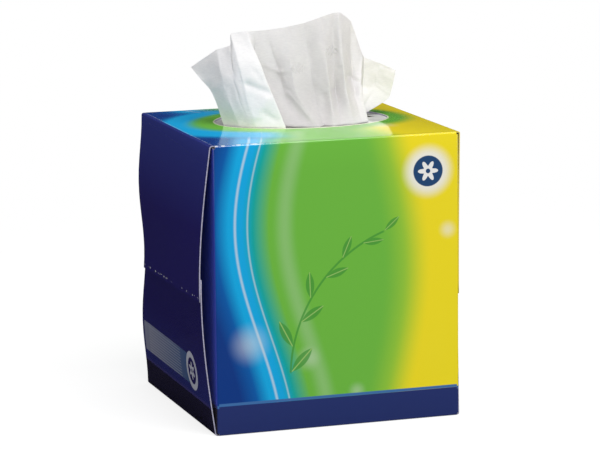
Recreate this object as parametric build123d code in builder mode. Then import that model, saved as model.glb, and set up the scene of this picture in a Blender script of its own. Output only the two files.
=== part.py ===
from build123d import *
import os
from math import atan, degrees, pi, sin, sqrt

# Carton: outside sizes of the front panel between its creases, in millimetres.
carton_width = 110.0
carton_depth = 110.0
carton_height = 125.0
board = 0.5
crease_radius = 0.9
glue_line = 0.1
top_crown = 2.1

# Flaps: the two large flaps of an end overlap at mid height, over the dust flaps.
seam_height = 54.0
flap_overlap = 14.0
dust_flap_length = 44.0
glue_flap_length = 16.0
flap_relief = 1.2
left_front_bow = 5.6
left_back_bow = 2.0
right_bow = 1.2

# Oval opening, and the film with a slit that is glued under it.
opening_length = 78.0
opening_width = 58.0
opening_shift = 2.0
film_thickness = 0.15
film_margin = 6.0
film_corner = 5.0
slit_length = 70.0
slit_width = 22.0

# Stack: interfolded sheets folded over into an upside-down U.
stack_headroom = 13.9
stack_clearance = 0.8
stack_slot = 1.5

# Pulled sheet: what stands above the top panel, and how it lies on the film on its way out of the slit.
tissue_thickness = 0.4
tissue_spread = 47.5
tissue_depth = 10.0
tissue_rise = 48.0
film_lift = 1.1
tissue_seat = 0.8
slit_fill = 0.78
foot_share = 0.7
neck_share = 0.3
heel_share = 0.2
fold_softness = 0.25

# Shared places that follow from the sizes above.
layer = board + glue_line
half_width = carton_width / 2 + 2 * layer
half_depth = carton_depth / 2
sleeve_end = carton_width / 2 - crease_radius
panel_edge = half_depth - flap_relief
film_top = carton_height - layer
stack_width = carton_width - 2 * (layer + stack_clearance)
stack_depth = carton_depth - 2 * (2 * layer + stack_clearance)
stack_top = film_top - stack_headroom
stack_spring = stack_top - stack_width / 2


def crown_at(x):
    return top_crown * (1 - (x / sleeve_end) ** 2)


def crowned_sheet(top, thickness):
    # A sheet that is flat along its four edges and domed in the middle.
    sections = []
    for share in (-1.0, -0.5, 0.0, 0.5, 1.0):
        x = share * sleeve_end
        rise = 2 * crown_at(x)
        with BuildSketch(Plane.YZ.offset(x)) as section:
            with BuildLine():
                Bezier((-panel_edge, top), (0, top + rise), (panel_edge, top))
                Line((panel_edge, top), (panel_edge, top - thickness))
                Bezier(
                    (panel_edge, top - thickness),
                    (0, top - thickness + rise),
                    (-panel_edge, top - thickness),
                )
                Line((-panel_edge, top - thickness), (-panel_edge, top))
            make_face()
        sections.append(section.sketch)
    loft(sections)


def single_bow(height, amount):
    return amount * sin(pi * height / carton_height)


def double_bow(height, amount):
    return amount * sin(2 * pi * height / carton_height) ** 2


def flap_profile(end, hinge, side, face, free_edge, bow, amount):
    # Section of a large flap: short stub of panel, crease, then the bowed face down or up to its edge.
    panel = carton_height if hinge > 0 else 0.0
    step = hinge * 0.001
    lean = degrees(atan(bow(panel - step, amount) / abs(step)))
    turn = -end * hinge * (90 - lean)
    slope = bow(free_edge - step, amount) - bow(free_edge, amount)
    edge_plane = Plane((0, side * panel_edge, 0), x_dir=(1, 0, 0), z_dir=(0, -1, 0))
    surfaces = []
    with BuildSketch(edge_plane) as profile:
        with BuildLine():
            for inset in (0.0, board):
                level = panel - hinge * inset
                points = []
                for share in (0.15, 0.4, 0.7, 1.0):
                    height = panel + share * (free_edge - panel)
                    points.append((end * (face - inset + bow(height, amount)), height))
                stub = Line((end * sleeve_end, level), (end * (face - crease_radius), level))
                crease = JernArc(stub @ 1, (end, 0), crease_radius - inset, turn)
                sweep = Spline(crease @ 1, *points, tangents=(crease % 1, (end * slope, -step)))
                surfaces.append((stub @ 0, sweep @ 1))
            outer, inner = surfaces
            Line(outer[0], inner[0])
            Line(outer[1], inner[1])
        make_face()
    return profile.sketch


def large_flap(end, hinge, face, free_edge):
    # The front and back edges of a left flap are bowed differently, so the face is ruled between them.
    edges = ((-1, single_bow, left_front_bow), (1, double_bow, left_back_bow))
    if end > 0:
        edges = ((-1, single_bow, right_bow), (1, single_bow, right_bow))
    profiles = []
    for side, bow, amount in edges:
        profiles.append(flap_profile(end, hinge, side, face, free_edge, bow, amount))
    loft(profiles, ruled=True)


def dust_flap(end, side):
    # Short inner flap, creased to the front or back panel.
    turn = -end * side
    with BuildSketch(Plane.XY.offset(flap_relief)) as outline:
        with BuildLine():
            crease = JernArc((end * sleeve_end, side * half_depth), (end, 0), crease_radius, turn * 90)
            Line(crease @ 1, ((crease @ 1).X, side * (half_depth - dust_flap_length)))
            offset(amount=board, side=Side.LEFT if turn > 0 else Side.RIGHT, closed=True)
        make_face()
    extrude(outline.sketch, amount=carton_height - 2 * flap_relief)


# Carton: one blank, creased, wrapped into a sleeve, and closed by four flaps at either end.
with BuildPart() as carton:
    # Front and bottom panels, with the glue flap that stands up inside the back panel.
    with BuildSketch(Plane.YZ.offset(-sleeve_end)):
        with BuildLine():
            FilletPolyline(
                (-panel_edge, carton_height),
                (-half_depth, carton_height),
                (-half_depth, 0),
                (half_depth - layer, 0),
                (half_depth - layer, glue_flap_length),
                radius=crease_radius,
            )
            offset(amount=board, side=Side.LEFT, closed=True)
        make_face()
    extrude(amount=2 * sleeve_end)
    # Back panel, from the top crease to its raw lower edge.
    with BuildSketch(Plane.YZ.offset(-sleeve_end)):
        with BuildLine():
            FilletPolyline(
                (panel_edge, carton_height),
                (half_depth, carton_height),
                (half_depth, crease_radius),
                radius=crease_radius,
            )
            offset(amount=board, side=Side.RIGHT, closed=True)
        make_face()
    extrude(amount=2 * sleeve_end)
    crowned_sheet(carton_height, board)
    for end in (-1, 1):
        for side in (-1, 1):
            dust_flap(end, side)
        large_flap(end, -1, half_width - layer, seam_height + flap_overlap)
        large_flap(end, 1, half_width, seam_height)
    # Oval opening through the domed top panel.
    with BuildSketch(Plane.XY.offset(film_top)):
        with Locations((opening_shift, 0)):
            Ellipse(opening_length / 2, opening_width / 2)
    extrude(amount=layer + 2 * top_crown, mode=Mode.SUBTRACT)
carton.part.label = "carton"

# Film: follows the dome of the panel, and is slit along the middle of the opening.
with BuildPart() as slit_film:
    crowned_sheet(film_top, film_thickness)
    with BuildSketch(Plane.XY.offset(film_top - layer)):
        with Locations((opening_shift, 0)):
            RectangleRounded(
                opening_length + 2 * film_margin, opening_width + 2 * film_margin, film_corner
            )
        with BuildLine():
            slit_left = opening_shift - slit_length / 2
            slit_right = opening_shift + slit_length / 2
            ThreePointArc((slit_left, 0), (opening_shift, slit_width / 2), (slit_right, 0))
            ThreePointArc((slit_right, 0), (opening_shift, -slit_width / 2), (slit_left, 0))
        make_face(mode=Mode.SUBTRACT)
    extrude(amount=2 * layer + 2 * top_crown, mode=Mode.INTERSECT)
slit_film.part.label = "slit_film"

# Stack: two legs of folded sheets under a round crown, standing on the bottom panel.
with BuildPart() as tissue_stack:
    with BuildSketch(Plane.XZ.offset(-stack_depth / 2)):
        with BuildLine():
            crown = ThreePointArc(
                (-stack_width / 2, stack_spring), (0, stack_top), (stack_width / 2, stack_spring)
            )
            Polyline(crown @ 1, (stack_width / 2, board), (-stack_width / 2, board), crown @ 0)
        make_face()
        with BuildLine():
            bend = ThreePointArc(
                (-stack_slot / 2, stack_spring), (0, stack_spring + stack_slot), (stack_slot / 2, stack_spring)
            )
            Polyline(bend @ 1, (stack_slot / 2, board), (-stack_slot / 2, board), bend @ 0)
        make_face(mode=Mode.SUBTRACT)
    extrude(amount=stack_depth)
tissue_stack.part.label = "tissue_stack"

# Fold lines of the pulled sheet, from its left edge to its right edge. Each gives its place in the slit,
# its heel at the rim of the opening with the lift there, and its middle and top, all as shares.
fold_lines = (
    ((-0.92, 0.00), (-0.91, -0.28, 1.0), (-0.80, 0.00, 0.30), (-0.96, 0.60, 0.53)),
    ((-0.86, -0.10), (-0.82, -0.52, 1.0), (-0.73, -0.80, 0.39), (-0.77, -0.20, 0.71)),
    ((-0.78, -0.25), (-0.74, -0.62, 1.0), (-0.66, -0.95, 0.42), (-0.67, -0.55, 0.75)),
    ((-0.68, -0.40), (-0.69, -0.69, 1.0), (-0.63, -1.10, 0.45), (-0.66, -0.50, 0.86)),
    ((-0.36, -0.80), (-0.41, -0.88, 1.0), (-0.41, -1.70, 0.48), (-0.52, -0.80, 0.87)),
    ((-0.50, -0.30), (-0.49, -0.62, 2.4), (-0.39, -0.90, 0.46), (-0.46, -0.50, 0.87)),
    ((-0.28, -0.65), (-0.32, -0.72, 2.2), (-0.22, -0.85, 0.40), (-0.32, -0.40, 0.87)),
    ((-0.02, -0.95), (-0.04, -0.90, 1.1), (-0.13, -1.20, 0.33), (-0.14, -0.35, 0.89)),
    ((0.06, -0.45), (0.04, -0.66, 1.5), (0.07, -0.90, 0.30), (0.04, -0.30, 0.92)),
    ((0.16, -0.90), (0.11, -0.86, 1.1), (0.19, -1.40, 0.30), (0.19, -0.40, 0.97)),
    ((0.32, -0.50), (0.25, -0.76, 1.3), (0.29, -0.90, 0.34), (0.31, -0.45, 1.00)),
    ((0.50, -0.70), (0.40, -0.76, 1.1), (0.35, -1.00, 0.45), (0.39, -0.50, 1.00)),
    ((0.64, -0.30), (0.51, -0.55, 1.4), (0.50, -0.40, 0.38), (0.54, 0.10, 0.90)),
    ((0.78, -0.35), (0.63, -0.41, 1.1), (0.56, -0.60, 0.32), (0.65, 0.10, 0.60)),
    ((0.72, 0.10), (0.64, -0.14, 1.4), (0.68, 0.40, 0.29), (0.70, 0.50, 0.55)),
    ((0.78, 0.25), (0.69, 0.00, 1.2), (0.80, 0.45, 0.27), (0.85, 0.45, 0.49)),
    ((0.88, 0.10), (0.76, 0.05, 1.0), (0.93, 0.30, 0.17), (1.00, 0.30, 0.42)),
)


def film_at(x, y):
    return film_top + crown_at(x) * (1 - (y / panel_edge) ** 2)


def fold_line_points(fold):
    slit, heel, middle, top = fold
    slit_x = opening_shift + slit[0] * slit_length / 2
    slit_y = slit[1] * slit_fill * slit_width / 2
    slit_z = film_at(slit_x, slit_y)
    foot_x = opening_shift + foot_share * (slit_x - opening_shift)
    crown_drop = stack_width / 2 - sqrt((stack_width / 2) ** 2 - foot_x**2)
    foot_z = stack_top - crown_drop + tissue_seat
    lift = heel[2] * film_lift
    heel_x = opening_shift + heel[0] * opening_length / 2
    heel_y = heel[1] * opening_width / 2
    run_x = (slit_x + heel_x) / 2
    run_y = (slit_y + heel_y) / 2
    points = [
        Vector(foot_x, foot_share * slit_y, foot_z),
        Vector(slit_x, slit_y, slit_z - neck_share * (slit_z - foot_z)),
        Vector(slit_x, slit_y, slit_z + lift),
        Vector(run_x, run_y, film_at(run_x, run_y) + lift),
        Vector(heel_x, heel_y, film_at(heel_x, heel_y) + lift),
    ]
    for spread, depth, rise in (middle, top):
        height = carton_height + rise * tissue_rise
        points.append(Vector(spread * tissue_spread, depth * tissue_depth, height))
    points.insert(5, points[4] + (points[5] - points[4]) * heel_share)
    return soft_curve(points, 2)


def soft_curve(points, steps):
    # Points on a curve that rounds each corner without swinging past it.
    curve = []
    last = len(points) - 1
    for i in range(last):
        start = points[i]
        stop = points[i + 1]
        leave = (stop - points[max(i - 1, 0)]) * fold_softness
        arrive = (points[min(i + 2, last)] - start) * fold_softness
        for k in range(steps):
            t = k / steps
            curve.append(
                start * (2 * t**3 - 3 * t**2 + 1)
                + leave * (t**3 - 2 * t**2 + t)
                + stop * (3 * t**2 - 2 * t**3)
                + arrive * (t**3 - t**2)
            )
    curve.append(points[last])
    return curve


def sheet_side(grid, shift):
    # The fold lines moved by half the thickness to one side of the sheet's middle.
    side = []
    for i, line in enumerate(grid):
        points = []
        for j, point in enumerate(line):
            across = grid[min(i + 1, len(grid) - 1)][j] - grid[max(i - 1, 0)][j]
            up = line[min(j + 1, len(line) - 1)] - line[max(j - 1, 0)]
            points.append(point + across.cross(up).normalized() * shift)
        side.append(points)
    return side


def ruled_face(near, far):
    return Face.make_surface_from_curves(Edge.make_line(*near), Edge.make_line(*far))


# Pulled sheet: one soft sheet whose pleats run from the stack through the slit to its free edge.
with BuildPart() as pulled_tissue:
    grid = [fold_line_points(fold) for fold in fold_lines]
    front = sheet_side(grid, tissue_thickness / 2)
    back = sheet_side(grid, -tissue_thickness / 2)
    faces = []
    for i in range(len(grid) - 1):
        for j in range(len(grid[0]) - 1):
            for side in (back, front):
                faces.append(ruled_face(side[i][j : j + 2], side[i + 1][j : j + 2]))
        for j in (0, -1):
            faces.append(ruled_face((front[i][j], front[i + 1][j]), (back[i][j], back[i + 1][j])))
    for i in (0, -1):
        for j in range(len(grid[0]) - 1):
            faces.append(ruled_face(front[i][j : j + 2], back[i][j : j + 2]))
    add(Solid(Shell(faces)))
pulled_tissue.part.label = "pulled_tissue"

os.makedirs("parts", exist_ok=True)
export_step(carton.part, "parts/carton.step")
export_step(slit_film.part, "parts/slit_film.step")
export_step(tissue_stack.part, "parts/tissue_stack.step")
export_step(pulled_tissue.part, "parts/pulled_tissue.step")
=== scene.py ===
from math import atan2, cos, exp, hypot, pi, radians, sin, sqrt

import bmesh
import bpy
from mathutils import Matrix, Vector, noise


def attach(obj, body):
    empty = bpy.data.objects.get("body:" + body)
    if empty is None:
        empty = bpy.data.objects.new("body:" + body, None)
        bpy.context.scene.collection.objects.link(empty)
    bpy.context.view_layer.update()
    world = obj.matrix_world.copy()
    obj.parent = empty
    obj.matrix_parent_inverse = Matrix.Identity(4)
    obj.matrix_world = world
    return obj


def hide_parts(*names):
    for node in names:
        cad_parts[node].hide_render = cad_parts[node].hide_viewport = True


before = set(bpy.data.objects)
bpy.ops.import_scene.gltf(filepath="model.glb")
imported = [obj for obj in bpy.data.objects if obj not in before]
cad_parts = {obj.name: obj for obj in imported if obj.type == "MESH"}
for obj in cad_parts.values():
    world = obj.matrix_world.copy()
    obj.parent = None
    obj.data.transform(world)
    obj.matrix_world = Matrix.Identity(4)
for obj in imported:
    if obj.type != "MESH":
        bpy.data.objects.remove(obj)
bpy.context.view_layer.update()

scene = bpy.context.scene
scene.view_settings.view_transform = "Standard"

# camera
shot = dict(azimuth=-18.11, elevation=10.11, roll=-0.62, lens=186.5, sensor=36.0, near=0.05,
            eye=(-0.4209, -1.2898, 0.3207))


def placeCamera():
    turn, lift, tilt = (radians(shot[key]) for key in ("azimuth", "elevation", "roll"))
    back = Vector((sin(turn) * cos(lift), -cos(turn) * cos(lift), sin(lift)))
    right = Vector((cos(turn), sin(turn), 0))
    up = back.cross(right)
    rows = (right * cos(tilt) + up * sin(tilt), up * cos(tilt) - right * sin(tilt), back)
    data = bpy.data.cameras.new("shotCamera")
    data.lens = shot["lens"]
    data.sensor_width = shot["sensor"]
    data.clip_start = shot["near"]
    camera = bpy.data.objects.new("shotCamera", data)
    camera.matrix_world = Matrix.Translation(shot["eye"]) @ Matrix(rows).transposed().to_4x4()
    scene.collection.objects.link(camera)
    scene.camera = camera


placeCamera()
print("camera placed")


# small node helpers, used by every material
def ink(red, green, blue):
    linear = []
    for value in (red, green, blue):
        value /= 255
        linear.append(value / 12.92 if value <= 0.04045 else ((value + 0.055) / 1.055) ** 2.4)
    return (*linear, 1)


def newMaterial(name):
    material = bpy.data.materials.new(name)
    material.use_nodes = True
    material.node_tree.nodes.clear()
    return material, material.node_tree


def plug(tree, socket, value):
    if isinstance(value, bpy.types.NodeSocket):
        tree.links.new(value, socket)
    else:
        socket.default_value = value


def addNode(tree, kind, inputs=None, **settings):
    node = tree.nodes.new("ShaderNode" + kind)
    for key, value in settings.items():
        setattr(node, key, value)
    for key, value in (inputs or {}).items():
        plug(tree, node.inputs[key], value)
    return node


def calc(tree, operation, *values):
    return addNode(tree, "Math", dict(enumerate(values)), operation=operation).outputs[0]


def product(tree, *values):
    result = values[0]
    for value in values[1:]:
        result = calc(tree, "MULTIPLY", result, value)
    return result


def fade(tree, value, start, end):
    node = addNode(tree, "MapRange", {"Value": value, "From Min": start, "From Max": end})
    node.interpolation_type = "SMOOTHSTEP"
    return node.outputs[0]


def between(tree, value, start, end, soft):
    rise = fade(tree, value, start - soft, start + soft)
    return product(tree, rise, fade(tree, value, end + soft, end - soft))


def offFrom(tree, value, middle):
    return calc(tree, "ABSOLUTE", calc(tree, "SUBTRACT", value, middle))


def lengthOf(tree, place):
    return addNode(tree, "VectorMath", {0: place}, operation="LENGTH").outputs["Value"]


def objectPlace(tree):
    return addNode(tree, "TexCoord").outputs["Object"]


def grain(tree, place, scale, detail, roughness=0.5, distortion=0.0):
    inputs = {"Vector": place, "Scale": scale, "Detail": detail, "Roughness": roughness,
              "Distortion": distortion}
    return addNode(tree, "TexNoise", inputs).outputs[0]


def bumpOf(tree, height, strength, distance, under=None):
    node = addNode(tree, "Bump", {"Height": height, "Strength": strength, "Distance": distance})
    if under is not None:
        plug(tree, node.inputs["Normal"], under)
    return node.outputs[0]


def mixInk(tree, share, under, over):
    node = addNode(tree, "Mix", data_type="RGBA")
    plug(tree, node.inputs[0], share)
    # sockets 6, 7 and 2 carry its colours
    plug(tree, node.inputs[6], under)
    plug(tree, node.inputs[7], over)
    return node.outputs[2]


def inkRamp(tree, value, stops):
    # stops run from the first place to the last
    first, last = stops[0][0], stops[-1][0]
    share = addNode(tree, "MapRange", {"Value": value, "From Min": first, "From Max": last}).outputs[0]
    node = addNode(tree, "ValToRGB", {"Fac": share})
    elements = node.color_ramp.elements
    while len(elements) < len(stops):
        elements.new(0.5)
    for element, (place, colour) in zip(elements, stops):
        element.position = (place - first) / (last - first)
        element.color = ink(*colour)
    return node.outputs[0]


def finishMaterial(tree, shader):
    output = addNode(tree, "OutputMaterial")
    tree.links.new(shader, output.inputs["Surface"])


# small mesh helpers: every vertex keeps its place on the flat sheet
def newSheet():
    bm = bmesh.new()
    bm.verts.layers.float_vector.new("flat")
    return bm


def gridPanel(bm, uSteps, vSteps, place):
    made = bmesh.ops.create_grid(bm, x_segments=uSteps, y_segments=vSteps, size=1.0)["verts"]
    layerFlat = bm.verts.layers.float_vector["flat"]
    for vert in made:
        i = round((vert.co.x + 1) / 2 * uSteps)
        j = round((vert.co.y + 1) / 2 * vSteps)
        vert.co, flat = place(i, j)
        vert[layerFlat] = (*flat, 0)


def bridgeRings(bm, outer, cuts):
    made = bmesh.ops.bridge_loops(bm, edges=bm.edges[:])
    ring = set(outer)
    radial = [edge for edge in made["edges"] if (edge.verts[0] in ring) != (edge.verts[1] in ring)]
    bmesh.ops.subdivide_edges(bm, edges=radial, cuts=cuts, use_grid_fill=True)


def faceUp(bm):
    bm.normal_update()
    bmesh.ops.reverse_faces(bm, faces=[face for face in bm.faces if face.normal.z < 0])


def linkMesh(name, bm, materials):
    mesh = bpy.data.meshes.new(name)
    bm.to_mesh(mesh)
    bm.free()
    for material in materials:
        mesh.materials.append(material)
    made = bpy.data.objects.new(name, mesh)
    scene.collection.objects.link(made)
    return made


def makePiece(name, bm, materials, node, uvName):
    uvLayer = bm.loops.layers.uv.new(uvName)
    flat = bm.verts.layers.float_vector["flat"]
    for face in bm.faces:
        face.smooth = True
        for loop in face.loops:
            loop[uvLayer].uv = loop.vert[flat][:2]
    for edge in bm.edges:
        edge.smooth = not edge.is_boundary
    piece = linkMesh(name, bm, materials)
    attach(piece, "root")
    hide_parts(node)
    return piece


def thicken(piece, name, thickness, offset):
    wall = piece.modifiers.new(name, "SOLIDIFY")
    wall.thickness = thickness
    wall.offset = offset
    return wall


# carton: one creased blank, in metres
carton = dict(width=0.110, depth=0.110, height=0.125, board=0.0005, crease=0.0009, glueLine=0.0001,
              crown=0.0021, seam=0.054, overlap=0.014, dustFlap=0.044, glueFlap=0.016, relief=0.0012,
              frontBow=0.0056, backBow=0.0020, rightBow=-0.0006, seamRise=0.0045,
              openingLength=0.078, openingWidth=0.058, openingShift=0.002, lead=0.001, weld=0.00001,
              columns=24, rings=7, wallRows=10, faceRows=14, dustRows=6, dustSteps=8, creaseSteps=4)
layer = carton["board"] + carton["glueLine"]
crease = carton["crease"]
high = carton["height"]
halfWidth = carton["width"] / 2 + 2 * layer
halfDepth = carton["depth"] / 2
sleeveEnd = carton["width"] / 2 - crease
panelEdge = halfDepth - carton["relief"]
columns = carton["columns"]


def crownAt(x):
    return carton["crown"] * (1 - (x / sleeveEnd) ** 2)


def domeAt(x, y):
    return crownAt(x) * (1 - (y / panelEdge) ** 2)


def singleBow(height):
    return sin(pi * height / high)


def doubleBow(height):
    return sin(2 * pi * height / high) ** 2


def creaseArc():
    return [pi / 2 * k / carton["creaseSteps"] for k in range(carton["creaseSteps"] + 1)]


def wallHeight(step):
    return crease + step / carton["wallRows"] * (high - 2 * crease)


def sleevePath():
    # (y, z) from the glue flap, under the bottom and up the front to the top crease
    inner = halfDepth - layer
    lead = carton["lead"]
    path = [(inner, carton["glueFlap"]), (inner, crease + lead)]
    for turn in creaseArc():
        path.append((inner - crease + crease * cos(turn), crease - crease * sin(turn)))
    path += [(inner - crease - lead, 0), (0, 0), (crease - halfDepth + lead, 0)]
    for turn in creaseArc():
        path.append((crease - halfDepth - crease * sin(turn), crease - crease * cos(turn)))
    for step in range(1, carton["wallRows"]):
        path.append((-halfDepth, wallHeight(step)))
    for turn in creaseArc():
        path.append((crease - halfDepth - crease * cos(turn), high - crease + crease * sin(turn)))
    path.append((-panelEdge, high))
    return path


def backPath():
    path = [(panelEdge, high)]
    for turn in creaseArc():
        path.append((halfDepth - crease + crease * sin(turn), high - crease + crease * cos(turn)))
    for step in reversed(range(carton["wallRows"])):
        path.append((halfDepth, wallHeight(step)))
    return path


def lengthsAlong(path, zeroAt):
    lengths = [0.0]
    for before, after in zip(path, path[1:]):
        lengths.append(lengths[-1] + hypot(after[0] - before[0], after[1] - before[1]))
    return [length - lengths[zeroAt] for length in lengths]


def addRun(bm, path, flatStart, zeroAt):
    lengths = lengthsAlong(path, zeroAt)

    def place(i, j):
        x = (i / columns * 2 - 1) * sleeveEnd
        return (x, *path[j]), (x, flatStart + lengths[j])

    gridPanel(bm, columns, len(path) - 1, place)


def addTopPanel(bm):
    # rectangle of the panel bridged to the oval rim, then domed
    count = 4 * columns
    outer = bmesh.ops.create_circle(bm, segments=count, radius=1.0)["verts"]
    rim = bmesh.ops.create_circle(bm, segments=count, radius=0.5)["verts"]
    corners = ((1, -1), (1, 1), (-1, 1), (-1, -1), (1, -1))
    for k in range(count):
        side, step = divmod(k, columns)
        share = step / columns
        x = (corners[side][0] * (1 - share) + corners[side + 1][0] * share) * sleeveEnd
        y = (corners[side][1] * (1 - share) + corners[side + 1][1] * share) * panelEdge
        turn = atan2(y / panelEdge, x / sleeveEnd)
        outer[k].co = (x, y, 0)
        rim[k].co = (carton["openingShift"] + carton["openingLength"] / 2 * cos(turn),
                     carton["openingWidth"] / 2 * sin(turn), 0)
    bridgeRings(bm, outer, carton["rings"])
    flat = bm.verts.layers.float_vector["flat"]
    for vert in bm.verts:
        vert[flat] = (vert.co.x, high + halfDepth + vert.co.y, 0)
        vert.co.z = high + domeAt(vert.co.x, vert.co.y)
    faceUp(bm)


def flapBow(end, height, y):
    if end > 0:
        return carton["rightBow"] * singleBow(height)
    back = (y + panelEdge) / (2 * panelEdge)
    front = (1 - back) * carton["frontBow"] * singleBow(height)
    return front + back * carton["backBow"] * doubleBow(height)


def flapRows(hinge, face, freeEdge):
    # (reach from the middle, height, flat length past the sleeve's end)
    panel = high if hinge > 0 else 0.0
    rows = [(sleeveEnd, panel)]
    for turn in creaseArc():
        rows.append((face - crease + crease * sin(turn), panel - hinge * crease * (1 - cos(turn))))
    first = rows[-1][1]
    for k in range(1, carton["faceRows"] + 1):
        rows.append((face, first + k / carton["faceRows"] * (freeEdge - first)))
    return [(*row, length) for row, length in zip(rows, lengthsAlong(rows, 0))]


def addLargeFlap(bm, end, hinge, face, freeEdge):
    rows = flapRows(hinge, face, freeEdge)
    last = len(rows) - 1

    def place(i, j):
        out, height, length = rows[last - i] if end < 0 else rows[i]
        y = (j / columns * 2 - 1) * panelEdge * hinge
        if end < 0 < hinge and out == face:
            # the left upper flap's cut edge climbs towards the front
            share = (high - height) / (high - freeEdge)
            height += share * carton["seamRise"] * (panelEdge - y) / (2 * panelEdge)
        bow = flapBow(end, height, y) if out == face else 0.0
        flatV = high + halfDepth + y if hinge > 0 else -halfDepth - y
        return (end * (out + bow), y, height), (end * (sleeveEnd + length), flatV)

    gridPanel(bm, last, columns, place)


def addDustFlap(bm, end, side):
    rows = [(sleeveEnd, side * halfDepth)]
    for turn in creaseArc():
        rows.append((sleeveEnd + crease * sin(turn), side * (halfDepth - crease + crease * cos(turn))))
    for k in range(1, carton["dustRows"] + 1):
        inward = k / carton["dustRows"] * (carton["dustFlap"] - crease)
        rows.append((sleeveEnd + crease, side * (halfDepth - crease - inward)))
    lengths = lengthsAlong(rows, 0)
    last = len(rows) - 1
    low = carton["relief"]
    steps = carton["dustSteps"]

    def place(i, j):
        k = last - i if end < 0 else i
        share = j / steps if side < 0 else 1 - j / steps
        z = low + share * (high - 2 * low)
        flatV = z if side < 0 else 2 * high + carton["depth"] - z
        return (end * rows[k][0], rows[k][1], z), (end * (sleeveEnd + lengths[k]), flatV)

    gridPanel(bm, last, steps, place)


def makeCarton():
    bm = newSheet()
    addTopPanel(bm)
    sleeve = sleevePath()
    addRun(bm, sleeve, high, len(sleeve) - 1)
    addRun(bm, backPath(), high + carton["depth"], 0)
    for end in (-1, 1):  # left, right
        for side in (-1, 1):  # front, back
            addDustFlap(bm, end, side)
        addLargeFlap(bm, end, -1, halfWidth - layer, carton["seam"] + carton["overlap"])
        addLargeFlap(bm, end, 1, halfWidth, carton["seam"])
    bmesh.ops.remove_doubles(bm, verts=bm.verts, dist=carton["weld"])
    bm.normal_update()
    piece = makePiece("carton_board", bm, [printedBoard(), rawBoard(), cutBoard()],
                      "carton", "blank")
    wall = thicken(piece, "wall", carton["board"], -1)
    wall.material_offset = 1  # bare board inside
    wall.material_offset_rim = 2  # bare cuts
    wall.use_even_offset = False


# print of the blank, in millimetres of the flat sheet: u across it, v up the front, over the top and down
# the back
# the dust flap's blue is brighter than its print: painted light in the shaded gap behind the left flaps
colours = dict(navy=(22, 60, 134), blue=(18, 92, 168), cyan=(24, 170, 228), teal=(26, 168, 160),
               green=(112, 186, 68), lime=(156, 202, 60), yellow=(242, 222, 40), white=(240, 240, 236),
               flapTop=(44, 52, 122), flapLow=(32, 26, 94), paintedDustFlapLight=(62, 80, 200), ring=(236, 244, 208),
               band=(42, 54, 110), stripe=(66, 112, 170), darkBand=(30, 26, 52), darkStripe=(60, 56, 116),
               strip=(140, 142, 164), stripEnd=(52, 86, 136), sealRim=(196, 198, 212),
               leaf=(72, 150, 60), vein=(170, 208, 118), bloom=(40, 74, 116))
# parts of the blank: spans as start, stop and softness, fades as from and to
blank = dict(top=(127, 233, 2), leftEnd=(-54.6, -55.4), below=(-0.1, -0.5), frontDust=(0.5, 124.5, 0.2))


def inkOf(name):
    return ink(*colours[name])


def named(stops):
    return [(place, colours[name]) for place, name in stops]


def localFlat(tree, flat, place, size=(1, 1), angle=0):
    # distance and offsets from a place on the blank, by size and turn
    node = addNode(tree, "Mapping", {"Vector": flat, "Location": (*place, 0), "Rotation": (0, 0, angle),
                                     "Scale": (*size, 1)}, vector_type="TEXTURE")
    parts = addNode(tree, "SeparateXYZ", {0: node.outputs[0]})
    return lengthOf(tree, node.outputs[0]), parts.outputs[0], parts.outputs[1]


def petals(tree, x, y, reach, size, swing):
    # six petals round an open eye
    lobes = calc(tree, "COSINE", product(tree, calc(tree, "ARCTAN2", y, x), 6.0))
    room = calc(tree, "SUBTRACT", calc(tree, "MULTIPLY_ADD", lobes, swing, size), reach)
    body = fade(tree, room, -0.04 * size, 0.04 * size)
    return product(tree, body, fade(tree, reach, 0.26 * size, 0.35 * size))


# flowing bands, with ribbons as (place, width, strength)
waves = dict(length=190.0, leftSwing=10.0, leftPhase=40.5, rightSwing=-7.0, rightPhase=20.0,
             stops=((-64, "navy"), (-52, "navy"), (-45, "blue"), (-39, "cyan"), (-33, "cyan"),
                    (-28, "teal"), (-21, "green"), (22, "green")),
             limeFade=(13, 28), yellowFade=(22, 36),
             ribbons=((-36, 0.5, 0.5), (-30.5, 0.35, 0.4), (-14, 3.0, 0.14)))


def wave(tree, flatU, flatV, swing, phase):
    turn = product(tree, calc(tree, "SUBTRACT", flatV, phase), 2 * pi / waves["length"])
    return calc(tree, "MULTIPLY_ADD", calc(tree, "SINE", turn), swing, flatU)


def bandInk(tree, flatU, flatV):
    left = wave(tree, flatU, flatV, waves["leftSwing"], waves["leftPhase"])
    right = wave(tree, flatU, flatV, waves["rightSwing"], waves["rightPhase"])
    colour = inkRamp(tree, left, named(waves["stops"]))
    colour = mixInk(tree, fade(tree, right, *waves["limeFade"]), colour, inkOf("lime"))
    colour = mixInk(tree, fade(tree, right, *waves["yellowFade"]), colour, inkOf("yellow"))
    for place, thick, strength in waves["ribbons"]:
        share = product(tree, fade(tree, offFrom(tree, left, place), thick * 2, 0), strength)
        colour = mixInk(tree, share, colour, inkOf("white"))
    return colour


# soft halo round the opening, by share of its size, with a pale line along the cut
halo = dict(place=(2.0, 180.0), size=(39.0, 29.0), rim=(39.5, 30.4),
            stops=((1.0, "green"), (1.12, "green"), (1.22, "teal"), (1.32, "cyan"), (1.6, "cyan"),
                   (1.8, "blue")),
            blueFade=(1.9, 1.55), leftFade=(-12, -34), greenFade=(1.4, 1.12), rimFade=(1.01, 0.99))


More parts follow.
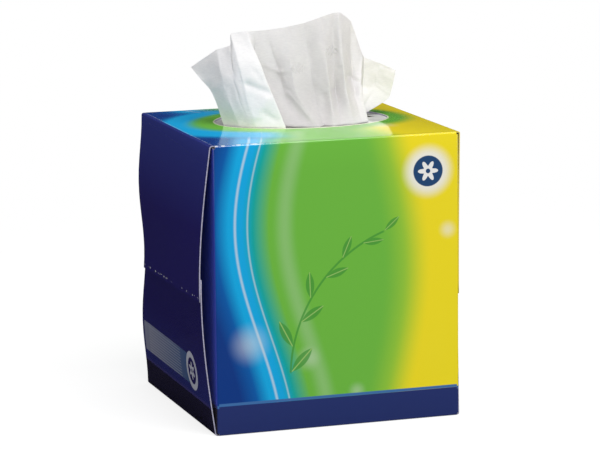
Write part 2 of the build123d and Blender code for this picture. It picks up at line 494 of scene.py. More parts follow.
def haloInk(tree, flat, flatU, onTop, colour):
    reach, _, _ = localFlat(tree, flat, halo["place"], halo["size"])
    share = product(tree, fade(tree, reach, *halo["blueFade"]), fade(tree, flatU, *halo["leftFade"]), onTop)
    colour = mixInk(tree, share, colour, inkRamp(tree, reach, named(halo["stops"])))
    share = product(tree, fade(tree, reach, *halo["greenFade"]), onTop)
    colour = mixInk(tree, share, colour, inkOf("green"))
    reach, _, _ = localFlat(tree, flat, halo["place"], halo["rim"])
    share = product(tree, fade(tree, reach, *halo["rimFade"]), onTop)
    return mixInk(tree, share, colour, inkOf("ring"))


# soft spots of light: u, v, radius, strength
spots = ((-40, 38, 11, 0.35), (-14, 30, 7, 0.25), (50, 82, 5, 0.5), (8, 14, 5, 0.25), (30, 150, 8, 0.25))


def spotInk(tree, flat, colour):
    for u, v, radius, strength in spots:
        reach, _, _ = localFlat(tree, flat, (u, v), (radius, radius))
        share = product(tree, fade(tree, reach, 1, 0), strength)
        colour = mixInk(tree, share, colour, inkOf("white"))
    return colour


# sprig of leaves on an arched stem, angles in degrees
sprig = dict(centre=(43.0, 22.0), radius=65.0, start=178, stop=110, stem=(0.6, 0.3), stalk=0.4,
             leaves=8, longLeaf=7.0, shortLeaf=4.5, slim=0.34, lean=42, leafInk=0.8, veinInk=0.7)


def leafMask(tree, flat, place, size, angle):
    _, x, y = localFlat(tree, flat, place, size, angle)
    side = calc(tree, "ABSOLUTE", y)
    room = calc(tree, "SUBTRACT", calc(tree, "SUBTRACT", 1.0, product(tree, x, x)), side)
    body = fade(tree, room, 0.0, 0.14)
    return body, product(tree, body, fade(tree, side, 0.16, 0.06))


def sprigInk(tree, flat, colour):
    reach, x, y = localFlat(tree, flat, sprig["centre"])
    start, stop = radians(sprig["start"]), radians(sprig["stop"])
    stem = fade(tree, offFrom(tree, reach, sprig["radius"]), *sprig["stem"])
    leaves = product(tree, stem, between(tree, calc(tree, "ARCTAN2", y, x), stop, start, 0.01))
    veins = 0.0
    for k in range(sprig["leaves"]):
        share = k / (sprig["leaves"] - 1)
        angle = radians(sprig["start"] + share * (sprig["stop"] - sprig["start"]))
        size = sprig["longLeaf"] + share * (sprig["shortLeaf"] - sprig["longLeaf"])
        heading = angle - pi / 2 + radians(sprig["lean"]) * (1 if k % 2 else -1) * (1 - 0.5 * share)
        out = size + sprig["stalk"]
        u = sprig["centre"][0] + sprig["radius"] * cos(angle) + out * cos(heading)
        v = sprig["centre"][1] + sprig["radius"] * sin(angle) + out * sin(heading)
        body, vein = leafMask(tree, flat, (u, v), (size, size * sprig["slim"]), heading)
        leaves = calc(tree, "MAXIMUM", leaves, body)
        veins = calc(tree, "MAXIMUM", veins, vein)
    colour = mixInk(tree, product(tree, leaves, sprig["leafInk"]), colour, inkOf("leaf"))
    return mixInk(tree, product(tree, veins, sprig["veinInk"]), colour, inkOf("vein"))


# round flower badge with its glow
badge = dict(place=(41.0, 108.0), disc=6.7, soft=0.2, glow=13.0, glowInk=0.9, petal=3.4, petalSwing=1.2)


def badgeInk(tree, flat, colour):
    reach, x, y = localFlat(tree, flat, badge["place"])
    glow = product(tree, fade(tree, reach, badge["glow"], badge["disc"]), badge["glowInk"])
    colour = mixInk(tree, glow, colour, inkOf("white"))
    disc = fade(tree, reach, badge["disc"] + badge["soft"], badge["disc"] - badge["soft"])
    colour = mixInk(tree, disc, colour, inkOf("bloom"))
    flower = petals(tree, x, y, reach, badge["petal"], badge["petalSwing"])
    return mixInk(tree, flower, colour, inkOf("white"))


# left end: navy flaps, with a ruled strip and a flower seal on the lower one
leftEnd = dict(stops=((-130, "flapLow"), (-95, "flapLow"), (-55, "flapTop")),
               across=(-85.5, -72.0, 0.2), along=(-106.0, -26.0), ruled=(-98.0, -44.0, 0.3),
               alongSoft=0.3, pitch=1.3, ruleFade=(0.2, 0.8), ruleInk=0.2,
               seal=(-78.7, -26.0), sealSize=8.6, rimFade=(1.03, 0.97), discFade=(0.72, 0.66),
               petal=0.36, petalSwing=0.12)


def leftEndInk(tree, flatU, flatV, onLeft, colour):
    colour = mixInk(tree, onLeft, colour, inkRamp(tree, flatU, named(leftEnd["stops"])))
    # painted light: the left front dust flap, seen in the shaded gap behind the bowed flaps, gets a
    # brighter blue than its print
    paintedDustFlapLight = product(tree, onLeft, between(tree, flatV, *blank["frontDust"]))
    colour = mixInk(tree, paintedDustFlapLight, colour, inkOf("paintedDustFlapLight"))
    start, stop = leftEnd["along"]
    strip = product(tree, between(tree, flatU, *leftEnd["across"]),
                    between(tree, flatV, start, stop, leftEnd["alongSoft"]), onLeft)
    stripInk = inkRamp(tree, flatV, named(((start, "strip"), (stop, "stripEnd"))))
    colour = mixInk(tree, strip, colour, stripInk)
    lines = calc(tree, "SINE", product(tree, flatU, 2 * pi / leftEnd["pitch"]))
    lines = product(tree, fade(tree, lines, *leftEnd["ruleFade"]), between(tree, flatV, *leftEnd["ruled"]),
                    strip, leftEnd["ruleInk"])
    return mixInk(tree, lines, colour, inkOf("white"))


def sealInk(tree, flat, colour):
    reach, x, y = localFlat(tree, flat, leftEnd["seal"], (leftEnd["sealSize"], leftEnd["sealSize"]))
    colour = mixInk(tree, fade(tree, reach, *leftEnd["rimFade"]), colour, inkOf("sealRim"))
    colour = mixInk(tree, fade(tree, reach, *leftEnd["discFade"]), colour, inkOf("flapLow"))
    flower = petals(tree, x, y, reach, leftEnd["petal"], leftEnd["petalSwing"])
    return mixInk(tree, flower, colour, inkOf("sealRim"))


# band and stripe round the foot of the box: front, ends and back
foot = dict(band=12.0, stripe=1.2, endCrease=55.0, backEdge=360.0, bandSoft=0.1, stripeSoft=0.15)


def footInk(tree, flatV, out, onLeft, colour):
    below = fade(tree, flatV, *blank["below"])
    front, stripe, soft = foot["band"], foot["stripe"], foot["bandSoft"]
    end, back = foot["endCrease"] + front, foot["backEdge"] - front
    past = product(tree, below, fade(tree, out, end - soft, end + soft))
    share = product(tree, fade(tree, flatV, front + soft, front - soft), calc(tree, "SUBTRACT", 1.0, past))
    share = calc(tree, "MAXIMUM", share, fade(tree, flatV, back - soft, back + soft))
    colour = mixInk(tree, share, colour, mixInk(tree, onLeft, inkOf("band"), inkOf("darkBand")))
    soft = foot["stripeSoft"]
    share = product(tree, below, between(tree, out, end, end + stripe, soft))
    share = calc(tree, "MAXIMUM", share, between(tree, flatV, front, front + stripe, soft))
    share = calc(tree, "MAXIMUM", share, between(tree, flatV, back - stripe, back, soft))
    return mixInk(tree, share, colour, mixInk(tree, onLeft, inkOf("stripe"), inkOf("darkStripe")))


# ink worn off the left of the front crease, the top-left crease and the seam: place, then its fade
wear = dict(scale=0.35, detail=4.0, roughness=0.65, strength=0.8,
            front=(124.3, 0.6, 0.25), frontFade=(-22, -34), frontRub=(0.4, 0.56),
            left=(-54.6, 0.4, 0.1), leftSpan=(125, 236, 0.5), leftRub=(0.3, 0.6), leftShare=0.25,
            seam=(125.2, 0.5, 0.2), seamRub=(0.55, 0.62))


def nearLine(tree, value, place, start, end):
    return fade(tree, offFrom(tree, value, place), start, end)


def wornShare(tree, flat, flatU, flatV, out):
    rub = grain(tree, flat, wear["scale"], wear["detail"], roughness=wear["roughness"])
    front = product(tree, nearLine(tree, flatV, *wear["front"]), fade(tree, flatU, *wear["frontFade"]),
                    fade(tree, rub, *wear["frontRub"]))
    left = product(tree, nearLine(tree, flatU, *wear["left"]), between(tree, flatV, *wear["leftSpan"]),
                   fade(tree, rub, *wear["leftRub"]), wear["leftShare"])
    seam = product(tree, nearLine(tree, out, *wear["seam"]), fade(tree, rub, *wear["seamRub"]))
    return calc(tree, "MAXIMUM", calc(tree, "MAXIMUM", front, left), seam)


# varnish; the top panel's print is painted lighter, most of all at its blue end, as painted light from
# above
varnish = dict(topPaintedLight=1.1, blueEndPaintedLight=0.17, blueFade=(20, -20), mottle=0.05, bump=0.1, bumpDepth=0.0004,
               sheen=0.07, mottleSheen=0.08, wornSheen=0.3, bend=1.46, gloss=0.6)


def printedBoard():
    material, tree = newMaterial("varnished_print")
    uv = addNode(tree, "UVMap", uv_map="blank")
    flat = addNode(tree, "VectorMath", {0: uv.outputs[0], "Scale": 1000.0}, operation="SCALE").outputs[0]
    parts = addNode(tree, "SeparateXYZ", {0: flat})
    flatU, flatV = parts.outputs[0], parts.outputs[1]
    out = calc(tree, "ABSOLUTE", flatU)
    onTop = between(tree, flatV, *blank["top"])
    onLeft = fade(tree, flatU, *blank["leftEnd"])

    colour = bandInk(tree, flatU, flatV)
    colour = haloInk(tree, flat, flatU, onTop, colour)
    colour = spotInk(tree, flat, colour)
    colour = sprigInk(tree, flat, colour)
    colour = badgeInk(tree, flat, colour)
    colour = leftEndInk(tree, flatU, flatV, onLeft, colour)
    colour = sealInk(tree, flat, colour)
    colour = footInk(tree, flatV, out, onLeft, colour)
    worn = wornShare(tree, flat, flatU, flatV, out)
    colour = mixInk(tree, product(tree, worn, wear["strength"]), colour, inkOf("white"))

    # painted light: the top panel is made lighter than the rest, as if lit more from above
    paintedTopLight = calc(tree, "MULTIPLY_ADD", fade(tree, flatU, *varnish["blueFade"]), varnish["blueEndPaintedLight"],
                varnish["topPaintedLight"])
    colour = addNode(tree, "HueSaturation", {"Color": colour, "Value": paintedTopLight, "Fac": onTop}).outputs[0]
    mottle = grain(tree, flat, varnish["mottle"], 0.0)
    sheen = calc(tree, "MULTIPLY_ADD", worn, varnish["wornSheen"], varnish["sheen"])
    sheen = calc(tree, "MULTIPLY_ADD", mottle, varnish["mottleSheen"], sheen)
    bump = bumpOf(tree, mottle, varnish["bump"], varnish["bumpDepth"])
    shader = addNode(tree, "BsdfPrincipled", {"Base Color": colour, "Roughness": sheen, "Normal": bump,
                                              "IOR": varnish["bend"],
                                              "Specular IOR Level": varnish["gloss"]})
    finishMaterial(tree, shader.outputs[0])
    return material


# bare board inside and at the cuts; the cuts at the yellow end, above the band, are painted yellow, as
# painted light reflected from the yellow print
bare = dict(inside=((0.3, (176, 170, 160)), (0.7, (198, 193, 184))),
            cut=((0.3, (150, 148, 170)), (0.7, (184, 182, 204))),
            paintedYellowLight=(226, 206, 84), yellowLightAcross=(0.050, 0.054), yellowLightAbove=(0.018, 0.020))


def rawBoard():
    material, tree = newMaterial("raw_board")
    fibre = grain(tree, objectPlace(tree), 900.0, 3.0)
    colour = inkRamp(tree, fibre, bare["inside"])
    shader = addNode(tree, "BsdfPrincipled", {"Base Color": colour, "Roughness": 0.85})
    finishMaterial(tree, shader.outputs[0])
    return material


def cutBoard():
    material, tree = newMaterial("cut_board")
    place = objectPlace(tree)
    colour = inkRamp(tree, grain(tree, place, 1500.0, 2.0), bare["cut"])
    parts = addNode(tree, "SeparateXYZ", {0: place})
    # painted light: yellow on the cuts at the right end, above the band
    yellowLitCuts = product(tree, fade(tree, parts.outputs[0], *bare["yellowLightAcross"]),
                    fade(tree, parts.outputs[2], *bare["yellowLightAbove"]))
    colour = mixInk(tree, yellowLitCuts, colour, ink(*bare["paintedYellowLight"]))
    shader = addNode(tree, "BsdfPrincipled", {"Base Color": colour, "Roughness": 0.8})
    finishMaterial(tree, shader.outputs[0])
    return material


makeCarton()
print("carton folded")

# film: thin clear sheet glued under the opening, slit along its middle
film = dict(thickness=0.00015, margin=0.006, corner=0.005, slitLength=0.070, slitWidth=0.022, rings=12,
            segments=128, wrinkle=0.0004, roughness=0.16, bend=1.46, cover=0.88,
            haze=((0.3, (230, 231, 226)), (0.7, (248, 248, 244))))
filmTop = high - layer


def filmAt(x, y):
    return filmTop + domeAt(x, y)


def slitPoint(turn):
    # lens of two arcs, by angle round its middle
    half, width = film["slitLength"] / 2, film["slitWidth"] / 2
    radius = (half * half + width * width) / (2 * width)
    x = half * cos(turn)
    rise = sqrt(radius * radius - x * x) - (radius - width)
    return x, rise if sin(turn) >= 0 else -rise


def filmEdge(turn):
    # rounded rectangle of the film, by angle
    corner = film["corner"]
    across = carton["openingLength"] / 2 + film["margin"] - corner
    along = carton["openingWidth"] / 2 + film["margin"] - corner
    x, y = cos(turn), sin(turn)
    reach = min((across + corner) / max(abs(x), 1e-6), (along + corner) / max(abs(y), 1e-6))
    point = Vector((x * reach, y * reach))
    core = Vector((max(-across, min(across, point.x)), max(-along, min(along, point.y))))
    away = point - core
    return core + away.normalized() * corner if away.length > 1e-9 else point


def makeFilm():
    bm = newSheet()
    count = film["segments"]
    outer = bmesh.ops.create_circle(bm, segments=count, radius=1.0)["verts"]
    lips = bmesh.ops.create_circle(bm, segments=count, radius=0.5)["verts"]
    for k in range(count):
        turn = 2 * pi * k / count
        outer[k].co = (*filmEdge(turn), 0)
        lips[k].co = (*slitPoint(turn), 0)
    bridgeRings(bm, outer, film["rings"])
    flat = bm.verts.layers.float_vector["flat"]
    for vert in bm.verts:
        x, y = vert.co.x + carton["openingShift"], vert.co.y
        inside = 1 - (vert.co.x / carton["openingLength"] * 2) ** 2 - (y / carton["openingWidth"] * 2) ** 2
        ripple = noise.noise(Vector((x * 60, y * 140, 3.1)))
        ripple += 0.5 * noise.noise(Vector((x * 150, y * 260, 7.7)))
        vert[flat] = (x, y, 0)
        vert.co = (x, y, filmAt(x, y) + max(0.0, inside) * ripple * film["wrinkle"])
    faceUp(bm)
    piece = makePiece("slit_film_sheet", bm, [clearFilm()], "slit_film", "film")
    thicken(piece, "wall", film["thickness"], -1)


def clearFilm():
    material, tree = newMaterial("clear_film")
    place = objectPlace(tree)
    colour = inkRamp(tree, grain(tree, place, 120.0, 3.0), film["haze"])
    bump = bumpOf(tree, grain(tree, place, 260.0, 2.0), 0.25, 0.0004)
    body = addNode(tree, "BsdfPrincipled", {"Base Color": colour, "Roughness": film["roughness"],
                                            "IOR": film["bend"], "Alpha": film["cover"], "Normal": bump})
    finishMaterial(tree, body.outputs[0])
    return material


makeFilm()
print("film laid")

# stack: folded sheets bent over into two legs
stack = dict(headroom=0.0139, clearance=0.0008, slot=0.0015, bundles=9, fill=0.96, wave=0.00025,
             bendSteps=40, legSteps=8, rows=24, passing=0.25)
stackWidth = carton["width"] - 2 * (layer + stack["clearance"])
stackDepth = carton["depth"] - 2 * (2 * layer + stack["clearance"])
stackTop = filmTop - stack["headroom"]
stackSpring = stackTop - stackWidth / 2


def makeStack():
    bm = newSheet()
    inner = stack["slot"] / 2
    thick = (stackWidth / 2 - inner) / stack["bundles"]
    legSteps, rows = stack["legSteps"], stack["rows"]
    steps = 2 * legSteps + stack["bendSteps"]
    base = carton["board"]
    leg = stackSpring - base

    def place(bundle, i, j):
        radius = inner + (bundle + 1) * thick
        y = (j / rows * 2 - 1) * stackDepth / 2
        radius -= stack["wave"] * (1 + noise.noise(Vector((y * 90, bundle * 3.3, i * 0.13))))
        if i < legSteps:
            x, z = -radius, base + leg * i / legSteps
        elif i > steps - legSteps:
            x, z = radius, base + leg * (steps - i) / legSteps
        else:
            turn = pi * (i - legSteps) / stack["bendSteps"]
            x, z = -radius * cos(turn), stackSpring + radius * sin(turn)
        return (x, y, z), (i / steps, y)

    for bundle in range(stack["bundles"]):
        gridPanel(bm, steps, rows, lambda i, j: place(bundle, i, j))
    bm.normal_update()
    piece = makePiece("tissue_stack_sheets", bm, [tissuePaper("stacked_paper", stack["passing"])],
                      "tissue_stack", "sheet")
    thicken(piece, "wall", thick * stack["fill"], -1)


# soft paper of the stack and of the pulled sheet; its colour is painted a little darker where it lies
# single, as painted shade
paper = dict(tones=((0.35, (240, 238, 239)), (0.65, (250, 248, 248))), singlePlyPaintedShade=0.95, doublePlyPaintedLight=0.05,
             plyStop=0.9, roughness=0.95, gloss=0.15)
# two small pressed patches of dots, in millimetres
emboss = dict(places=((-3.5, 150.5), (12.6, 157.0)), reach=4.2, soft=1.2, squat=1.6, pitch=2.1)


def embossMark(tree, place):
    parts = addNode(tree, "SeparateXYZ", {0: place})
    x, z = (product(tree, parts.outputs[k], 1000.0) for k in (0, 2))
    turn = 2 * pi / emboss["pitch"]
    dots = product(tree, *(calc(tree, "SINE", product(tree, along, turn)) for along in (x, z)))
    marks = 0.0
    for u, v in emboss["places"]:
        away = calc(tree, "SUBTRACT", x, u)
        rise = product(tree, calc(tree, "SUBTRACT", z, v), emboss["squat"])
        reach = calc(tree, "SQRT", calc(tree, "MULTIPLY_ADD", rise, rise, product(tree, away, away)))
        patch = fade(tree, reach, emboss["reach"], emboss["reach"] - emboss["soft"])
        marks = calc(tree, "MAXIMUM", marks, patch)
    return product(tree, dots, marks)


def tissuePaper(name, passing):
    material, tree = newMaterial(name)
    place = objectPlace(tree)
    stretch = addNode(tree, "Mapping", {"Vector": place, "Scale": (1.0, 1.0, 3.0)}).outputs[0]
    fibre = grain(tree, stretch, 520.0, 4.0, roughness=0.6)
    cloud = grain(tree, place, 60.0, 2.0)
    tone = calc(tree, "MULTIPLY_ADD", fibre, 0.5, product(tree, cloud, 0.5))
    double = addNode(tree, "Attribute", attribute_name="ply").outputs["Fac"]
    # painted shade: parts lying single are darker in colour, and parts lying double lighter
    depth = calc(tree, "MULTIPLY_ADD", double, paper["doublePlyPaintedLight"], paper["singlePlyPaintedShade"])
    colour = inkRamp(tree, tone, paper["tones"])
    colour = addNode(tree, "HueSaturation", {"Color": colour, "Value": depth}).outputs[0]
    bump = bumpOf(tree, grain(tree, place, 75.0, 2.0, distortion=0.8), 0.35, 0.0012)
    bump = bumpOf(tree, fibre, 0.35, 0.0002, bump)
    bump = bumpOf(tree, embossMark(tree, place), 0.6, 0.0003, bump)
    body = addNode(tree, "BsdfPrincipled", {"Base Color": colour, "Roughness": paper["roughness"],
                                            "Specular IOR Level": paper["gloss"], "Normal": bump})
    through = addNode(tree, "BsdfTranslucent", {"Color": colour, "Normal": bump})
    share = calc(tree, "MULTIPLY_ADD", double, -paper["plyStop"] * passing, passing)
    mixed = addNode(tree, "MixShader", {0: share, 1: body.outputs[0], 2: through.outputs[0]})
    finishMaterial(tree, mixed.outputs[0])
    return material


makeStack()
print("stack folded")

# pulled sheet: pleats from the crown of the stack, through the slit and over the film to the free edge
tissue = dict(thickness=0.0002, spread=0.0475, depth=0.010, rise=0.048, lift=0.0005, seat=0.0008,
              slitFill=0.78, foot=0.7, neck=0.3, heel=0.2, foldSoft=0.13, pathSoft=0.3,
              foldSteps=12, pathSteps=(4, 4, 4, 4, 6, 20, 34), crumple=0.0005, passing=0.6,
              openFrom=0.86, crumpleFrom=(0.004, 0.014), wrinkleFrom=(0.001, 0.006))
# shares: place in the slit, heel at the rim with its lift, middle, top
pleats = (
    ((-0.92, 0.00), (-0.955, -0.20, 1.0), (-0.815, 0.00, 0.31), (-0.96, 0.95, 0.53)),
    ((-0.86, -0.10), (-0.84, -0.50, 1.0), (-0.75, -0.80, 0.37), (-0.77, -0.20, 0.71)),
    ((-0.78, -0.25), (-0.75, -0.64, 1.0), (-0.67, -1.10, 0.42), (-0.67, -0.55, 0.75)),
    ((-0.68, -0.40), (-0.69, -0.70, 1.0), (-0.61, -1.35, 0.45), (-0.66, -0.55, 0.86)),
    ((-0.36, -0.80), (-0.40, -0.91, 1.0), (-0.41, -1.60, 0.48), (-0.52, -0.60, 0.87)),
    ((-0.50, -0.30), (-0.49, -0.70, 2.4), (-0.45, -0.80, 0.46), (-0.44, -0.55, 0.87)),
    ((-0.28, -0.65), (-0.30, -0.89, 2.0), (-0.22, -1.15, 0.40), (-0.32, -0.45, 0.87)),
    ((-0.02, -0.95), (-0.04, -0.98, 1.1), (-0.13, -1.80, 0.33), (-0.14, -0.50, 0.89)),
    ((0.06, -0.45), (0.05, -0.89, 1.5), (0.07, -1.45, 0.30), (0.04, -0.55, 0.92)),
    ((0.16, -0.90), (0.14, -0.97, 1.1), (0.19, -1.90, 0.30), (0.19, -0.70, 0.97)),
    ((0.32, -0.50), (0.26, -0.91, 1.3), (0.29, -1.20, 0.34), (0.31, -0.60, 1.00)),
    ((0.50, -0.70), (0.40, -0.90, 1.1), (0.36, -1.45, 0.45), (0.39, -0.55, 1.00)),
    ((0.64, -0.30), (0.51, -0.81, 1.4), (0.50, -0.60, 0.38), (0.54, 0.10, 0.90)),
    ((0.78, -0.35), (0.62, -0.70, 1.1), (0.56, -0.95, 0.32), (0.65, 0.10, 0.60)),
    ((0.72, 0.10), (0.64, -0.14, 1.4), (0.68, 0.40, 0.29), (0.70, 0.50, 0.55)),
    ((0.78, 0.25), (0.69, 0.00, 1.2), (0.80, 0.45, 0.27), (0.85, 0.45, 0.49)),
    ((0.88, 0.10), (0.76, 0.05, 1.0), (0.93, 0.30, 0.17), (1.00, 0.30, 0.42)),
)
# how far the sheet lies double, by pleat, for most of its height and along its top edge; partly real folded
# layers, partly set for the light and shade they give through the paper's translucency and its painted
# shade
doubled = (0.7, 0.7, 0.6, 1.0, 1.0, 0.1, 0.0, 0.0, 0.0, 0.0, 0.1, 0.3, 0.5, 0.8, 1.0, 1.0, 1.0)
doubledTop = (0.7, 0.7, 0.7, 0.9, 0.8, 0.55, 0.25, 0.05, 0.0, 0.0, 0.1, 0.3, 0.5, 0.8, 1.0, 1.0, 1.0)
# small creases of the front, as seen from there: start and stop (x, z), half width and lift, in millimetres
wrinkles = (
    ((-27.0, 144.5), (-18.5, 141.0), 1.3, -0.9), ((-26.0, 129.0), (-20.5, 138.5), 2.2, 1.0),
    ((-23.5, 150.0), (-21.0, 146.0), 1.0, -0.5), ((-17.5, 129.5), (-21.5, 133.0), 1.2, -0.6),
    ((-11.0, 149.0), (-7.5, 155.0), 0.8, 0.6), ((-11.0, 149.0), (-16.0, 151.5), 0.8, 0.6),
    ((-11.0, 149.0), (-6.5, 150.0), 0.8, 0.5), ((-11.0, 149.0), (-9.0, 143.0), 0.9, 0.6),
    ((-8.6, 140.0), (-0.3, 127.0), 0.9, 0.8), ((-9.5, 137.0), (-5.0, 128.0), 2.8, -1.8),
    ((7.5, 137.5), (5.0, 128.0), 2.0, -1.6), ((8.5, 138.0), (9.5, 128.0), 0.9, 0.6),
    ((17.2, 172.0), (16.2, 151.0), 0.8, 0.7), ((15.0, 152.0), (12.5, 142.0), 1.2, 0.6),
    ((30.5, 151.0), (24.5, 136.0), 1.0, 0.8), ((20.0, 146.0), (27.0, 141.5), 1.0, -0.5),
    ((18.5, 139.0), (24.5, 136.5), 0.9, -0.4), ((2.5, 160.0), (4.0, 148.0), 1.4, -0.5),
)


def shareOf(value, start, end):
    return max(0.0, min(1.0, (value - start) / (end - start)))


def wrinkleLift(x, z):
    lift = 0.0
    here = Vector((x, z)) * 1000
    for start, stop, wide, tall in wrinkles:
        start, along = Vector(start), Vector(stop) - Vector(start)
        share = shareOf((here - start).dot(along), 0.0, along.length_squared)
        off = (here - start - along * share).length / wide
        lift += tall * exp(-off * off) / 1000
    return lift


def pleatLine(pleat):
    slit, heel, middle, top = pleat
    shift = carton["openingShift"]
    slitX = shift + slit[0] * film["slitLength"] / 2
    slitY = slit[1] * tissue["slitFill"] * film["slitWidth"] / 2
    slitZ = filmAt(slitX, slitY)
    footX = shift + tissue["foot"] * (slitX - shift)
    bend = stackWidth / 2
    footZ = stackTop - (bend - sqrt(bend * bend - footX * footX)) + tissue["seat"]
    lift = heel[2] * tissue["lift"]
    heelX = shift + heel[0] * carton["openingLength"] / 2
    heelY = heel[1] * carton["openingWidth"] / 2
    runX, runY = (slitX + heelX) / 2, (slitY + heelY) / 2
    points = [Vector((footX, tissue["foot"] * slitY, footZ)),
              Vector((slitX, slitY, slitZ - tissue["neck"] * (slitZ - footZ))),
              Vector((slitX, slitY, slitZ + lift)),
              Vector((runX, runY, filmAt(runX, runY) + lift)),
              Vector((heelX, heelY, filmAt(heelX, heelY) + lift))]
    standing = [Vector((spread * tissue["spread"], depth * tissue["depth"], high + rise * tissue["rise"]))
                for spread, depth, rise in (middle, top)]
    points.append(points[-1].lerp(standing[0], tissue["heel"]))
    return softCurve(points + standing, tissue["pathSteps"], tissue["pathSoft"])


def softCurve(points, steps, soft):
    # rounds each corner without swinging past it
    curve = []
    last = len(points) - 1
    for i, count in enumerate(steps):
        start, stop = points[i], points[i + 1]
        leave = (stop - points[max(i - 1, 0)]) * soft
        arrive = (points[min(i + 2, last)] - start) * soft
        for k in range(count):
            t = k / count
            curve.append(start * (2 * t**3 - 3 * t**2 + 1) + leave * (t**3 - 2 * t**2 + t)
                         + stop * (3 * t**2 - 2 * t**3) + arrive * (t**3 - t**2))
    curve.append(points[last])
    return curve


def alongPleats(across, row):
    step, share = divmod(across * (len(row) - 1), 1)
    after = row[min(int(step) + 1, len(row) - 1)]
    return row[int(step)] * (1 - share) + after * share


def markPlies(bm):
    flat = bm.verts.layers.float_vector["flat"]
    ply = bm.verts.layers.float.new("ply")
    for vert in bm.verts:
        low, top = (alongPleats(vert[flat].x, row) for row in (doubled, doubledTop))
        vert[ply] = low + (top - low) * shareOf(vert[flat].y, tissue["openFrom"], 1)


def crumpleSheet(bm):
    flat = bm.verts.layers.float_vector["flat"]
    moves = []
    for vert in bm.verts:
        above = vert.co.z - high
        across, up, _ = vert[flat]
        ripple = noise.noise(Vector((across * 26, up * 5, 1.3)))
        ripple += 0.35 * noise.noise(Vector((across * 60, up * 14, 4.4)))
        crumple = vert.normal * ripple * tissue["crumple"] * shareOf(above, *tissue["crumpleFrom"])
        lift = wrinkleLift(vert.co.x, vert.co.z) * shareOf(above, *tissue["wrinkleFrom"])
        moves.append(crumple - Vector((0, lift, 0)))
    for vert, move in zip(bm.verts, moves):
        vert.co += move


def makeTissue():
    lines = [pleatLine(pleat) for pleat in pleats]
    steps = [tissue["foldSteps"]] * (len(pleats) - 1)
    rows = [softCurve(row, steps, tissue["foldSoft"]) for row in zip(*lines)]
    bm = newSheet()
    wide, tall = len(rows[0]) - 1, len(rows) - 1
    gridPanel(bm, wide, tall, lambda i, j: (rows[j][i], (i / wide, j / tall)))
    bm.normal_update()
    markPlies(bm)
    crumpleSheet(bm)
    piece = makePiece("pulled_tissue_sheet", bm, [tissuePaper("pulled_paper", tissue["passing"])],
                      "pulled_tissue", "sheet")
    thicken(piece, "ply", tissue["thickness"], 0)


makeTissue()
print("tissue pulled")

# studio: pale floor that fades into a white surround, and one soft key lamp
studio = dict(floorRadius=0.9, fadeFrom=0.22, fadeTo=0.6, floorBounce=0.55, floorLit=0.26, floorGlow=0.79,
              surround=0.5, keyPlace=(0.1, -0.75, 1.27), keyAim=(0, 0, 0.08), keyWatts=15.0, keySize=0.8)
# dark cards that only reflections see, as studio flags keep gloss off print: name, place, size, facing
flags = (("flagBehind", (0.17, 0.5, 0.3), (0.7, 0.34), (0, -1, 0)),
         ("flagLeft", (-0.26, 0.13, 0.2), (0.4, 0.5), (0, -1, 0)),
         ("flagFloor", (0, -0.1, 0.0004), (1.3, 1.5), (0, 0, 1)),
         ("flagFront", (0.5, -2.0, 0.6), (3.4, 1.6), (0, 1, 0)))


def seenRay(tree):
    path = addNode(tree, "LightPath")
    seen = calc(tree, "MAXIMUM", path.outputs["Is Camera Ray"], path.outputs["Is Glossy Ray"])
    return calc(tree, "MAXIMUM", seen, path.outputs["Is Transmission Ray"])


def grey(value):
    return (value, value, value, 1)


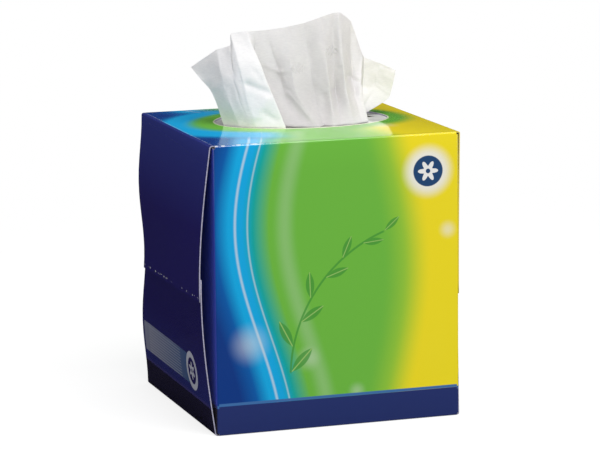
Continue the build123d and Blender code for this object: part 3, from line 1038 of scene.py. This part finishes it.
def paleFloor():
    material, tree = newMaterial("pale_floor")
    matt = addNode(tree, "BsdfDiffuse", {"Color": grey(studio["floorBounce"])})
    faint = addNode(tree, "BsdfDiffuse", {"Color": grey(studio["floorLit"])})
    glow = addNode(tree, "Emission", {"Strength": studio["floorGlow"]})
    lit = addNode(tree, "AddShader", {0: faint.outputs[0], 1: glow.outputs[0]})
    near = addNode(tree, "MixShader", {0: seenRay(tree), 1: matt.outputs[0], 2: lit.outputs[0]})
    clear = addNode(tree, "BsdfTransparent")
    away = fade(tree, lengthOf(tree, objectPlace(tree)), studio["fadeFrom"], studio["fadeTo"])
    both = addNode(tree, "MixShader", {0: away, 1: near.outputs[0], 2: clear.outputs[0]})
    finishMaterial(tree, both.outputs[0])
    return material


def makeFloor():
    bm = bmesh.new()
    bmesh.ops.create_circle(bm, cap_ends=True, segments=64, radius=studio["floorRadius"])
    floor = linkMesh("floor", bm, [paleFloor()])


def makeSurround():
    world = bpy.data.worlds.new("surround")
    world.use_nodes = True
    tree = world.node_tree
    tree.nodes.clear()
    soft = addNode(tree, "Background", {"Color": grey(1), "Strength": studio["surround"]})
    plain = addNode(tree, "Background", {"Color": grey(1), "Strength": 1.0})
    both = addNode(tree, "MixShader", {0: seenRay(tree), 1: soft.outputs[0], 2: plain.outputs[0]})
    output = addNode(tree, "OutputWorld")
    tree.links.new(both.outputs[0], output.inputs["Surface"])
    scene.world = world


def hangKey():
    lamp = bpy.data.lights.new("keyLamp", "AREA")
    lamp.energy = studio["keyWatts"]
    lamp.size = studio["keySize"]
    key = bpy.data.objects.new("keyLamp", lamp)
    key.location = studio["keyPlace"]
    aim = Vector(studio["keyAim"]) - Vector(studio["keyPlace"])
    key.rotation_mode = "QUATERNION"
    key.rotation_quaternion = aim.to_track_quat("-Z", "Y")
    scene.collection.objects.link(key)


def darkCard():
    material, tree = newMaterial("dark_card")
    shader = addNode(tree, "BsdfDiffuse", {"Color": (0.02, 0.02, 0.025, 1)})
    finishMaterial(tree, shader.outputs[0])
    return material


def addFlag(name, place, size, facing, material):
    bm = bmesh.new()
    bmesh.ops.create_grid(bm, x_segments=1, y_segments=1, size=0.5)
    turn = Vector(facing).to_track_quat("Z", "Y").to_matrix().to_4x4()
    bmesh.ops.scale(bm, vec=(*size, 1), verts=bm.verts)
    bmesh.ops.transform(bm, matrix=Matrix.Translation(place) @ turn, verts=bm.verts)
    card = linkMesh(name, bm, [material])
    card.visible_camera = card.visible_diffuse = card.visible_transmission = card.visible_shadow = False


makeFloor()
makeSurround()
hangKey()
cardPaint = darkCard()
for flag in flags:
    addFlag(*flag, cardPaint)
print("studio lit")
